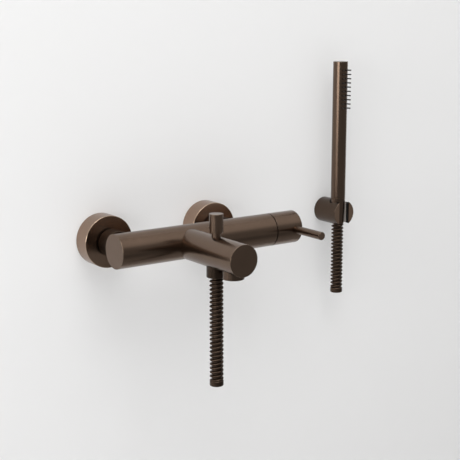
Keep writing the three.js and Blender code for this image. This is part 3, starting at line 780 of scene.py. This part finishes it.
def add_inlet(side, materials):
    x = middle("escutcheon_" + side, "x")
    depth = -span("escutcheon_" + side, "y")[0]
    radius = half("escutcheon_" + side, "x")
    thread = half("eccentric_union_" + side, "x")
    finish = materials["bronze_" + side]
    skin = 1.8
    hole = thread + GAP
    boss = hole + 2.7
    boss_start = 12.5
    outline = [
        (hole, depth, 0.25),
        (hole, boss_start),
        (boss, boss_start),
        (boss, depth - skin),
        (radius - skin, depth - skin, 0.3),
        (radius - skin, 0),
        (radius, 0, 0.2),
        (radius, depth, 0.6),
    ]
    escutcheon = turned("escutcheon_shell_" + side, OUT_OF_WALL, (x, 0, 0), outline)
    add_piece(escutcheon, "fixed", finish, ["escutcheon_" + side])

    nut_start, nut_end = (-y for y in reversed(span("union_nut_" + side, "y")))
    nut_radius = half("union_nut_" + side, "x")
    lip = 3.1
    outline = [
        (hole, nut_start),
        (nut_radius, nut_start, 0.4),
        (nut_radius, nut_end, 0.6),
        (SPIGOT_RADIUS + GAP, nut_end, 0.2),
        (SPIGOT_RADIUS + GAP, nut_end - lip),
        (hole, nut_end - lip),
    ]
    nut = turned("union_nut_shell_" + side, OUT_OF_WALL, (x, 0, 0), outline, MEDIUM)
    dark = materials["bronze_union_" + side]
    add_piece(nut, "fixed", dark, ["union_nut_" + side])

    start, end = (-y for y in reversed(span("inlet_spigot_" + side, "y")))
    collar = half("inlet_spigot_" + side, "x")
    collar_end = nut_end - lip - GAP
    outline = [
        (8, start),
        (collar, start, 0.2),
        (collar, collar_end, 0.2),
        (SPIGOT_RADIUS, collar_end),
        (SPIGOT_RADIUS, end),
        (8, end),
    ]
    spigot = turned("inlet_neck_" + side, OUT_OF_WALL, (x, 0, 0), outline, MEDIUM)
    add_piece(spigot, "fixed", dark, ["inlet_spigot_" + side])
    add_union(side, x, thread, materials["brass_union"])


PIPE_PITCH = 1.814
PIPE_DEPTH = 1.1
WALL_THREAD_RADIUS = 10.4
WALL_BORE = 6.5
UNION_BORE = 8.5


def thread_radius(major):
    """A pipe thread's radius at each phase of its turn."""
    return lambda phase, along: major - PIPE_DEPTH * np.minimum(1, abs(phase - 0.5) * 2.2)


def crank_mesh(name, x, drop, radius, start, end):
    """The flat plate with round ends that carries both of the union's threads, with softened rims."""
    outline = []
    for i in range(MEDIUM + 1):
        angle = math.pi * i / MEDIUM
        outline.append((math.cos(angle), math.sin(angle), 0))
    for i in range(MEDIUM + 1):
        angle = math.pi + math.pi * i / MEDIUM
        outline.append((math.cos(angle), math.sin(angle), drop))
    rim = 0.8
    levels = [(start, radius - rim), (start + rim, radius), (end - rim, radius), (end, radius - rim)]
    points = [(x + u * r, -out, v * r + low) for out, r in levels for u, v, low in outline]
    count = len(outline)
    faces = [list(range(count)), list(range(3 * count, 4 * count))[::-1]]
    for level in range(3):
        a, b = level * count, (level + 1) * count
        faces.extend([a + i, b + i, b + (i + 1) % count, a + (i + 1) % count] for i in range(count))
    return new_mesh(name, points, faces)


def add_union(side, x, thread, finish):
    node = "eccentric_union_" + side
    into = span(node, "y")[1]
    out = -span(node, "y")[0]
    drop = sum(span(node, "z"))
    crank_start, crank_end = 4, 11
    profile = thread_radius(WALL_THREAD_RADIUS)
    lower, upper = (x, 0, drop), (x, 0, 0)
    stub = helical(
        "union_wall_thread_" + side, OUT_OF_WALL, lower, -into, crank_start + 1, PIPE_PITCH, profile,
        bore=WALL_BORE, rows=10,
    )
    crank = crank_mesh("union_crank_" + side, x, drop, thread, crank_start, crank_end)
    crank = cut(
        crank,
        rod(OUT_OF_WALL, lower, WALL_BORE, 0, crank_start + 3, SMALL),
        rod(OUT_OF_WALL, upper, UNION_BORE, crank_end - 3, crank_end + 2, SMALL),
        block((x - 6, -crank_end + 2, drop), (x + 6, -crank_start - 2, 0)),
    )
    profile = thread_radius(thread)
    front = helical(
        "union_body_thread_" + side, OUT_OF_WALL, upper, crank_end - 1, out, PIPE_PITCH, profile,
        bore=UNION_BORE, rows=10,
    )
    add_piece(crank, "fixed", finish, [node])
    add_piece(stub, "fixed", finish)
    add_piece(front, "fixed", finish)


# ---------------------------------------------------------------- body, cap and lever


def body_surface(u, v):
    """How far out of the body's axis its surface lies, v above the axis of a piece that meets it."""
    return np.sqrt(BODY_RADIUS**2 - v**2)


def add_body(materials):
    centre = (0, -BODY_OUT, 0)
    seam_bore = GUIDE_RADIUS + GAP
    seam_floor = BODY_END - GUIDE_REACH - GAP
    outline = [
        (0, BODY_LEFT),
        (BODY_RADIUS, BODY_LEFT, 0.35),
        (BODY_RADIUS, BODY_END, 0.12),
        (seam_bore, BODY_END, 0.1),
        (seam_bore, seam_floor),
        (BORE, seam_floor),
        (BORE, BODY_LEFT + 4),
        (0, BODY_LEFT + 4),
    ]
    casing = turned("body_shell", ALONG_X, centre, outline, FINE)
    inlets = [
        rod(OUT_OF_WALL, (x, -BODY_OUT, 0), SPIGOT_RADIUS + GAP, -BODY_RADIUS - 2, -9, SMALL)
        for x in INLETS
    ]
    start = (0, -BODY_OUT, SPOUT_Z)
    outlet = rod(OUT_OF_WALL, start, CONNECTOR_RADIUS + GAP, 9, BODY_RADIUS + 2, SMALL)
    add_piece(cut(casing, *inlets, outlet), "fixed", materials["bronze"], ["body_casing"])

    ring_start, ring_end = span("guide_ring", "x")
    outline = [
        (GUIDE_RADIUS - 1.2, ring_start),
        (GUIDE_RADIUS, ring_start, 0.15),
        (GUIDE_RADIUS, ring_end, 0.15),
        (GUIDE_RADIUS - 1.2, ring_end),
    ]
    ring = turned("seam_ring", ALONG_X, centre, outline)
    add_piece(ring, "fixed", materials["black_plastic"], ["guide_ring"])


def add_control(materials):
    centre = (0, -BODY_OUT, 0)
    seam_bore = GUIDE_RADIUS + GAP
    seam_floor = CAP_START + GUIDE_REACH + GAP
    floor = CAP_END - 5
    hub, hub_start, socket, socket_end = 9, 131, 5.3, 150
    outline = [
        (0, CAP_END),
        (BODY_RADIUS, CAP_END, 0.35),
        (BODY_RADIUS, CAP_START, 0.12),
        (seam_bore, CAP_START, 0.1),
        (seam_bore, seam_floor),
        (BORE, seam_floor),
        (BORE, floor),
        (hub, floor),
        (hub, hub_start),
        (socket, hub_start),
        (socket, socket_end),
        (0, socket_end),
    ]
    cap = turned("control_cap_shell", ALONG_X, centre, outline)
    stud_hole = rod(OUT_OF_WALL, (LEVER_X, -BODY_OUT, 0), LEVER_STUD + 0.1, 7.7, BODY_RADIUS + 2, SMALL)
    grub_hole = rod(UPRIGHT, (GRUB_X, -BODY_OUT, 0), GRUB_RADIUS + GAP, -BODY_RADIUS - 2, -4, SMALL)
    shell = cut(cap, stud_hole, grub_hole)
    add_piece(shell, "control", materials["bronze"], ["control_cap"])

    length = LEVER_OUT - BODY_OUT
    outline = [
        (0, 8),
        (LEVER_STUD, 8, 0.3),
        (LEVER_STUD, 0.1, 0, 1),
        (LEVER_RADIUS, 0.1, 0.15, 1),
        (LEVER_RADIUS, length, 0.5),
        (0, length),
    ]
    lever = turned("lever", OUT_OF_WALL, (LEVER_X, -BODY_OUT, 0), outline, MEDIUM, seat=body_surface)
    add_piece(lever, "control", materials["bronze_lever"], ["lever_pin"])


# ---------------------------------------------------------------- spout and what is on it


def spout_seat(u, v):
    return body_surface(u, v + SPOUT_Z)


def spout_underside(u, v):
    return SPOUT_Z - np.sqrt(SPOUT_RADIUS**2 - u**2)


def add_spout(materials):
    length = SPOUT_OUT - BODY_OUT
    outline = [
        (SPOUT_BORE, 0.08, 0, 1),
        (SPOUT_RADIUS, 0.08, 0.12, 1),
        (SPOUT_RADIUS, length, 0.35),
        (0, length),
        (0, length - 4),
        (SPOUT_BORE, length - 4),
    ]
    spout = turned("spout_shell", OUT_OF_WALL, (0, -BODY_OUT, SPOUT_Z), outline, seat=spout_seat)
    below = SPOUT_Z - SPOUT_RADIUS - 2
    holes = [
        rod(UPRIGHT, (0, -DIVERTER_OUT, 0), NECK_RADIUS + 0.12, 5, SPOUT_RADIUS + 2, SMALL),
        rod(UPRIGHT, (0, -DIVERTER_OUT, 0), NIPPLE_RADIUS + GAP, below, -6, SMALL),
        rod(UPRIGHT, (0, -AERATOR_OUT, 0), AERATOR_THREAD + GAP, below, -6, SMALL),
    ]
    add_piece(cut(spout, *holes), "fixed", materials["bronze_spout"], ["spout_tube"])


def add_diverter(materials):
    centre = (0, -DIVERTER_OUT, 0)
    stem_fit = STEM_RADIUS + GAP
    step = BONNET_BOTTOM + 2.8
    finish = materials["bronze_diverter"]
    outline = [
        (stem_fit, BONNET_BOTTOM),
        (8.5, BONNET_BOTTOM),
        (8.5, step),
        (NECK_RADIUS, step),
        (NECK_RADIUS, BONNET_TOP, 0.3),
        (stem_fit, BONNET_TOP, 0.2),
    ]
    bonnet = turned("diverter_neck", UPRIGHT, centre, outline, MEDIUM)
    add_piece(bonnet, "fixed", finish, ["diverter_bonnet"])
    socket_top = 36
    outline = [
        (0, KNOB_TOP),
        (KNOB_RADIUS, KNOB_TOP, 0.4),
        (KNOB_RADIUS, KNOB_BOTTOM, 0.4),
        (stem_fit, KNOB_BOTTOM, 0.2),
        (stem_fit, socket_top),
        (0, socket_top),
    ]
    knob = turned("diverter_button", UPRIGHT, centre, outline)
    add_piece(knob, "diverter", finish, ["diverter_knob"])


def add_spring(materials):
    low, high = span("diverter_spring", "z")
    wire = 0.55
    turns = 3.2
    mean = 4.4
    count = 150
    path = []
    for i in range(count + 1):
        share = i / count
        ease = share - math.sin(2 * math.pi * share) * 0.06
        angle = 2 * math.pi * turns * share
        z = low + wire + (high - low - 2 * wire) * ease
        path.append((mean * math.cos(angle), -DIVERTER_OUT + mean * math.sin(angle), z))
    mesh = swept("return_spring", path, wire)
    spring = add_piece(mesh, "fixed", materials["steel"], ["diverter_spring"])
    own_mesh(spring)


def add_outlet_nut(materials):
    centre = (0, -DIVERTER_OUT, 0)
    inside = NIPPLE_THREAD + GAP
    neck = 7.0
    outline = [
        (inside, -0.1, 0, 1),
        (OUTLET_NUT_RADIUS, -0.1, 0.12, 1),
        (OUTLET_NUT_RADIUS, OUTLET_NUT_BOTTOM, 0.8),
        (neck, OUTLET_NUT_BOTTOM, 0.2),
        (neck, OUTLET_NUT_BOTTOM + 2.1),
        (inside, OUTLET_NUT_BOTTOM + 2.1),
    ]
    nut = turned("outlet_nut", UPRIGHT, centre, outline, MEDIUM, seat=spout_underside)
    add_piece(nut, "fixed", materials["bronze_outlet"], ["hose_nut"])


def honeycomb(name, centre, radius, low, high, cell=2.2, rib=0.32):
    """A round moulded grid of six-sided openings, filled by Blender's own flat curve."""
    curve = bpy.data.curves.new(name, "CURVE")
    curve.dimensions = "2D"
    curve.fill_mode = "BOTH"
    curve.extrude = (high - low) / 2 * MM

    def add_ring(points):
        spline = curve.splines.new("POLY")
        spline.points.add(len(points) - 1)
        for point, (x, y) in zip(spline.points, points):
            point.co = (x * MM, y * MM, 0, 1)
        spline.use_cyclic_u = True

    rim = np.linspace(0, 2 * math.pi, 73)[:-1]
    add_ring([(radius * math.cos(a), radius * math.sin(a)) for a in rim])
    reach = int(radius / cell) + 1
    hole = cell / math.sqrt(3) - rib / 2
    for i in range(-reach, reach + 1):
        for j in range(-reach, reach + 1):
            x = cell * (i + j / 2)
            y = cell * j * math.sqrt(3) / 2
            if math.hypot(x, y) + hole < radius - 0.8:
                angles = [math.radians(30 + 60 * k) for k in range(6)]
                add_ring([(x + hole * math.cos(a), y + hole * math.sin(a)) for a in angles])
    shape = loose_object(curve)
    mesh = evaluated(shape)
    bpy.data.objects.remove(shape)
    mesh.name = name
    for vertex in mesh.vertices:
        vertex.co = vertex.co + Vector((centre[0], centre[1], (low + high) / 2)) * MM
    return mesh


def add_aerator(materials):
    centre = (0, -AERATOR_OUT, 0)
    shoulder = -14
    outline = [
        (AERATOR_BORE, AERATOR_BOTTOM, 0.3),
        (AERATOR_RADIUS, AERATOR_BOTTOM, 0.5),
        (AERATOR_RADIUS, -0.12, 0.1, 1),
        (AERATOR_THREAD, -0.12, 0, 1),
        (AERATOR_THREAD, AERATOR_TOP),
        (AERATOR_BORE, AERATOR_TOP),
    ]
    housing = turned("aerator_ring", UPRIGHT, centre, outline, MEDIUM, seat=spout_underside)
    add_piece(housing, "fixed", materials["bronze_aerator"], ["aerator_housing"])
    low = span("aerator_insert", "z")[0]
    grid = honeycomb("aerator_grid", centre, AERATOR_BORE - 0.15, low, low + 2.4)
    add_piece(grid, "fixed", materials["black_plastic"], ["aerator_insert"])
    inner = AERATOR_BORE - GAP
    corners = [(0, low + 3), (inner, low + 3), (inner, shoulder), (0, shoulder)]
    core = turned("aerator_core", UPRIGHT, centre, corners, SMALL)
    add_piece(core, "fixed", materials["black_plastic"])


# ---------------------------------------------------------------- bracket


def seat_cone(margin):
    """An upright cone about the hand shower's axis, margin wider than the nut that sits in it."""
    slope = (HANDSET_RADIUS - CONE_TIP) / (CONE_TOP - CONE_BOTTOM)
    low, high = BRACKET_Z - BRACKET_RADIUS - 2, BRACKET_Z + BRACKET_RADIUS + 2
    radii = [CONE_TIP + (z - CONE_BOTTOM) * slope + margin for z in (low, high)]
    corners = [(0, low), (radii[0], low), (radii[1], high), (0, high)]
    return turned("seat", UPRIGHT, (BRACKET_X, -HANDSET_OUT, 0), corners, MEDIUM)


def slot_block(width, out):
    """The slot's room, which runs back until it is well inside the seat cone."""
    tall = BRACKET_RADIUS + 3
    low = (BRACKET_X - width / 2, -out, BRACKET_Z - tall)
    return block(low, (BRACKET_X + width / 2, 0.9 - HANDSET_OUT, BRACKET_Z + tall))


def add_bracket(materials):
    centre = (BRACKET_X, 0, BRACKET_Z)
    liner_out = LINER_SKIN + GAP
    outline = [
        (CORE_RADIUS + GAP, 0),
        (BRACKET_RADIUS, 0, 0.2),
        (BRACKET_RADIUS, BRACKET_OUT, 0.4),
        (0, BRACKET_OUT),
        (0, 8.6),
        (CORE_RADIUS + GAP, 8.6),
    ]
    blank = turned("bracket_shell", OUT_OF_WALL, centre, outline)
    shell = cut(
        blank,
        seat_cone(liner_out + 0.05),
        slot_block(SLOT_WIDTH + 2 * (LINER_SKIN + 0.15), BRACKET_OUT - SLOT_LIP),
        slot_block(SLOT_WIDTH, BRACKET_OUT + 2),
        rod(UPRIGHT, (BRACKET_X, -4, 0), GRUB_RADIUS + GAP, BRACKET_Z - BRACKET_RADIUS - 3, -10, SMALL),
    )
    add_piece(shell, "fixed", materials["bronze_bracket"], ["bracket_body"])

    front = BRACKET_OUT - SLOT_LIP - 0.1
    cheeks = slot_block(SLOT_WIDTH + 2 * LINER_SKIN, front)
    outside = combined(seat_cone(liner_out), "UNION", [cheeks])
    hollow = cut(outside, seat_cone(GAP), slot_block(SLOT_WIDTH, BRACKET_OUT + 1))
    within = rod(OUT_OF_WALL, centre, BRACKET_RADIUS - 0.35, 0, BRACKET_OUT)
    liner = combined(hollow, "INTERSECT", [within])
    liner.name = "slot_liner"
    add_piece(liner, "fixed", materials["liner"], ["bracket_liner"])


def add_bracket_fixing(materials):
    centre = (BRACKET_X, 0, BRACKET_Z)
    corners = [(2.5, 0, 0.2), (CORE_RADIUS, 0, 0.4), (CORE_RADIUS, 6, 0.4), (2.5, 6, 0.2)]
    hub = turned("wall_core", OUT_OF_WALL, centre, corners, MEDIUM)
    add_piece(hub, "fixed", materials["steel"], ["bracket_wall_core"])
    tip = span("bracket_screw", "y")[1]
    shank_end = tip - 4

    def wood_thread(phase, along):
        taper = np.clip((along + tip) / (tip - shank_end), 0.05, 1)
        return (1.45 + 0.75 * np.maximum(0, 1 - abs(phase - 0.5) * 5)) * taper

    name = "wall_screw_thread"
    shank = helical(name, OUT_OF_WALL, centre, -tip, 6.2, 1.8, wood_thread, sides=32, rows=16)
    add_piece(shank, "fixed", materials["steel"])
    corners = [(0, 8), (4.4, 8, 0.6), (4.4, 6.3, 0.2), (2.3, 6.0), (0, 6.0)]
    head = turned("wall_screw_head", OUT_OF_WALL, centre, corners, SMALL)
    add_piece(head, "fixed", materials["steel"], ["bracket_screw"])


# ---------------------------------------------------------------- hand shower


def nozzle_ways():
    """Each nozzle's height and the three directions it is turned on."""
    pitch = (NOZZLE_HIGH - NOZZLE_LOW) / (NOZZLES - 1)
    for side in (-1, 1):
        angle = math.radians(side * NOZZLE_ANGLE)
        along = Vector((math.sin(angle), -math.cos(angle), 0))
        across = Vector((math.cos(angle), math.sin(angle), 0))
        for i in range(NOZZLES):
            yield NOZZLE_LOW + i * pitch, (across, Vector((0, 0, 1)), along)


def add_stick(materials):
    centre = (BRACKET_X, -HANDSET_OUT, 0)
    finish = materials["bronze_stick"]
    outline = [
        (0, HANDSET_TOP),
        (HANDSET_RADIUS, HANDSET_TOP, 0.45),
        (HANDSET_RADIUS, HANDSET_BOTTOM, 0.06),
        (HANDSET_BORE, HANDSET_BOTTOM),
        (HANDSET_BORE, HANDSET_TOP - 2),
        (0, HANDSET_TOP - 2),
    ]
    tube = turned("hand_shower_tube", UPRIGHT, centre, outline)
    drills = [
        rod(way, (BRACKET_X, -HANDSET_OUT, z), NOZZLE_HOLE, 6, HANDSET_RADIUS + 2, 24)
        for z, way in nozzle_ways()
    ]
    tube = cut(tube, merged("drills", drills))
    add_piece(tube, "hand_shower", finish, ["handset_tube"])

    nozzles = []
    for z, way in nozzle_ways():
        corners = [
            (0, 6.8),
            (1.05, 6.8),
            (1.05, HANDSET_RADIUS + 0.1, 0.1),
            (0.82, HANDSET_RADIUS + 0.9, 0.1),
            (0.88, NOZZLE_REACH, 0.25),
            (0.4, NOZZLE_REACH, 0.1),
            (0.36, NOZZLE_REACH - 1.5),
            (0, NOZZLE_REACH - 1.5),
        ]
        nozzles.append(turned("nozzle", way, (BRACKET_X, -HANDSET_OUT, z), corners, 24))
    pins = merged("spray_nozzles", nozzles)
    add_piece(pins, "hand_shower", materials["silicone"], ["nozzle_insert"])

    outline = [
        (6.6, CONE_BOTTOM, 0.2),
        (CONE_TIP, CONE_BOTTOM, 0.4),
        (HANDSET_RADIUS, CONE_TOP, 0.06),
        (7.5, CONE_TOP),
        (7.5, -1.7),
        (6.6, -1.7),
    ]
    nut = turned("seat_cone_nut", UPRIGHT, centre, outline)
    add_piece(nut, "hand_shower", finish, ["cone_nut"])


# ---------------------------------------------------------------- stage and light


def stage_plane(name, corners, material):
    mesh = bpy.data.meshes.new(name)
    mesh.from_pydata(corners, [], [tuple(range(len(corners)))])
    mesh.materials.append(material)
    piece = loose_object(mesh)
    return piece


def plaster(name, shade, glow):
    """Plain matte off-white with a glow that grows with height, and clear from its back."""
    nodes = Nodes(name)
    height = nodes.parts(nodes.place)[2]
    nodes.set(base_color=colour(shade, shade, shade), roughness=0.9, specular_ior_level=0.1)
    nodes.set(emission_color=colour(1, 1, 1))
    nodes.set(emission_strength=nodes.spread(height, -0.4, 0.5, *glow))
    clear = nodes.add("ShaderNodeBsdfTransparent")
    choice = nodes.add("ShaderNodeMixShader")
    back = nodes.add("ShaderNodeNewGeometry").outputs["Backfacing"]
    nodes.link(back, choice.inputs[0])
    nodes.link(nodes.shader.outputs[0], choice.inputs[1])
    nodes.link(clear.outputs[0], choice.inputs[2])
    nodes.link(choice.outputs[0], nodes.tree.nodes["Material Output"].inputs[0])
    return nodes.material


FLOOR_Z = -0.62
WALL_GLOW = (0.15, 0.255)  # low on the wall and high on it
NO_GLOW = (0, 0)


def add_stage():
    wall_y = 0.0004
    stage_plane(
        "wall",
        [(-4, wall_y, FLOOR_Z), (4, wall_y, FLOOR_Z), (4, wall_y, 3), (-4, wall_y, 3)],
        plaster("wall_paint", 0.64, WALL_GLOW),
    )
    corners = [(-6, -6, FLOOR_Z), (6, -6, FLOOR_Z), (6, 6, FLOOR_Z), (-6, 6, FLOOR_Z)]
    floor = stage_plane("floor", corners, plaster("floor_paint", 0.8, NO_GLOW))
    floor.visible_glossy = False


def add_lamp(name, place, aim, width, height, power):
    data = bpy.data.lights.new(name, "AREA")
    data.shape = "RECTANGLE"
    data.size = width
    data.size_y = height
    data.energy = power
    lamp = loose_object(data)
    lamp.location = place
    lamp.rotation_euler = (Vector(aim) - Vector(place)).to_track_quat("-Z", "Y").to_euler()
    lamp.visible_camera = False


def sky_ramp(tree, height):
    """The studio's brightness from straight down (0) to straight up (1)."""
    ramp = tree.nodes.new("ShaderNodeValToRGB")
    tree.links.new(height, ramp.inputs[0])
    stops = ramp.color_ramp.elements
    stops.remove(stops[1])
    levels = (
        (0.00, 0.60),
        (0.07, 0.42),
        (0.15, 0.34),
        (0.25, 0.20),
        (0.34, 0.18),
        (0.40, 0.31),
        (0.58, 0.29),
        (0.68, 0.38),
        (0.77, 0.84),
        (0.90, 0.84),
    )
    for i, (at, level) in enumerate(levels):
        stop = stops.new(at) if i else stops[0]
        stop.position = at
        stop.color = colour(level, level * 0.99, level * 0.98)
    return ramp.outputs[0]


def add_light():
    add_lamp("key", (-0.30, -1.20, 2.05), (0.05, -0.1, 0), 1.4, 0.9, 18)
    add_lamp("fill", (-0.9, -1.3, 1.5), (0, -0.1, 0), 1.0, 1.0, 4)
    add_lamp("left", (-1.95, -0.72, 0.30), (0.2, -0.05, 0.05), 1.3, 0.75, 18)
    world = bpy.data.worlds.new("studio")
    bpy.context.scene.world = world
    world.use_nodes = True
    tree = world.node_tree
    tree.nodes.clear()
    new, link = tree.nodes.new, tree.links.new
    out = new("ShaderNodeOutputWorld")
    place = new("ShaderNodeTexCoord")
    parts = new("ShaderNodeSeparateXYZ")
    height = new("ShaderNodeMath")
    height.operation = "MULTIPLY_ADD"
    height.inputs[1].default_value = 0.5
    height.inputs[2].default_value = 0.5
    link(place.outputs["Generated"], parts.inputs[0])
    link(parts.outputs[2], height.inputs[0])
    sky = new("ShaderNodeBackground")
    link(sky_ramp(tree, height.outputs[0]), sky.inputs[0])
    plain = new("ShaderNodeBackground")
    plain.inputs[0].default_value = colour(0.80, 0.80, 0.80)
    choice = new("ShaderNodeMixShader")
    path = new("ShaderNodeLightPath")
    link(path.outputs["Is Camera Ray"], choice.inputs[0])
    link(sky.outputs[0], choice.inputs[1])
    link(plain.outputs[0], choice.inputs[2])
    link(choice.outputs[0], out.inputs[0])
    bpy.context.scene.view_settings.view_transform = "Standard"
    bpy.context.scene.view_settings.look = "None"


# ---------------------------------------------------------------- the whole


def main():
    add_camera()
    materials = make_materials()
    paint_frame(materials)
    add_hoses(materials)
    for side in ("left", "right"):
        add_inlet(side, materials)
    add_body(materials)
    add_control(materials)
    add_spout(materials)
    add_diverter(materials)
    add_spring(materials)
    add_outlet_nut(materials)
    add_aerator(materials)
    add_bracket(materials)
    add_bracket_fixing(materials)
    add_stick(materials)
    add_stage()
    add_light()


main()
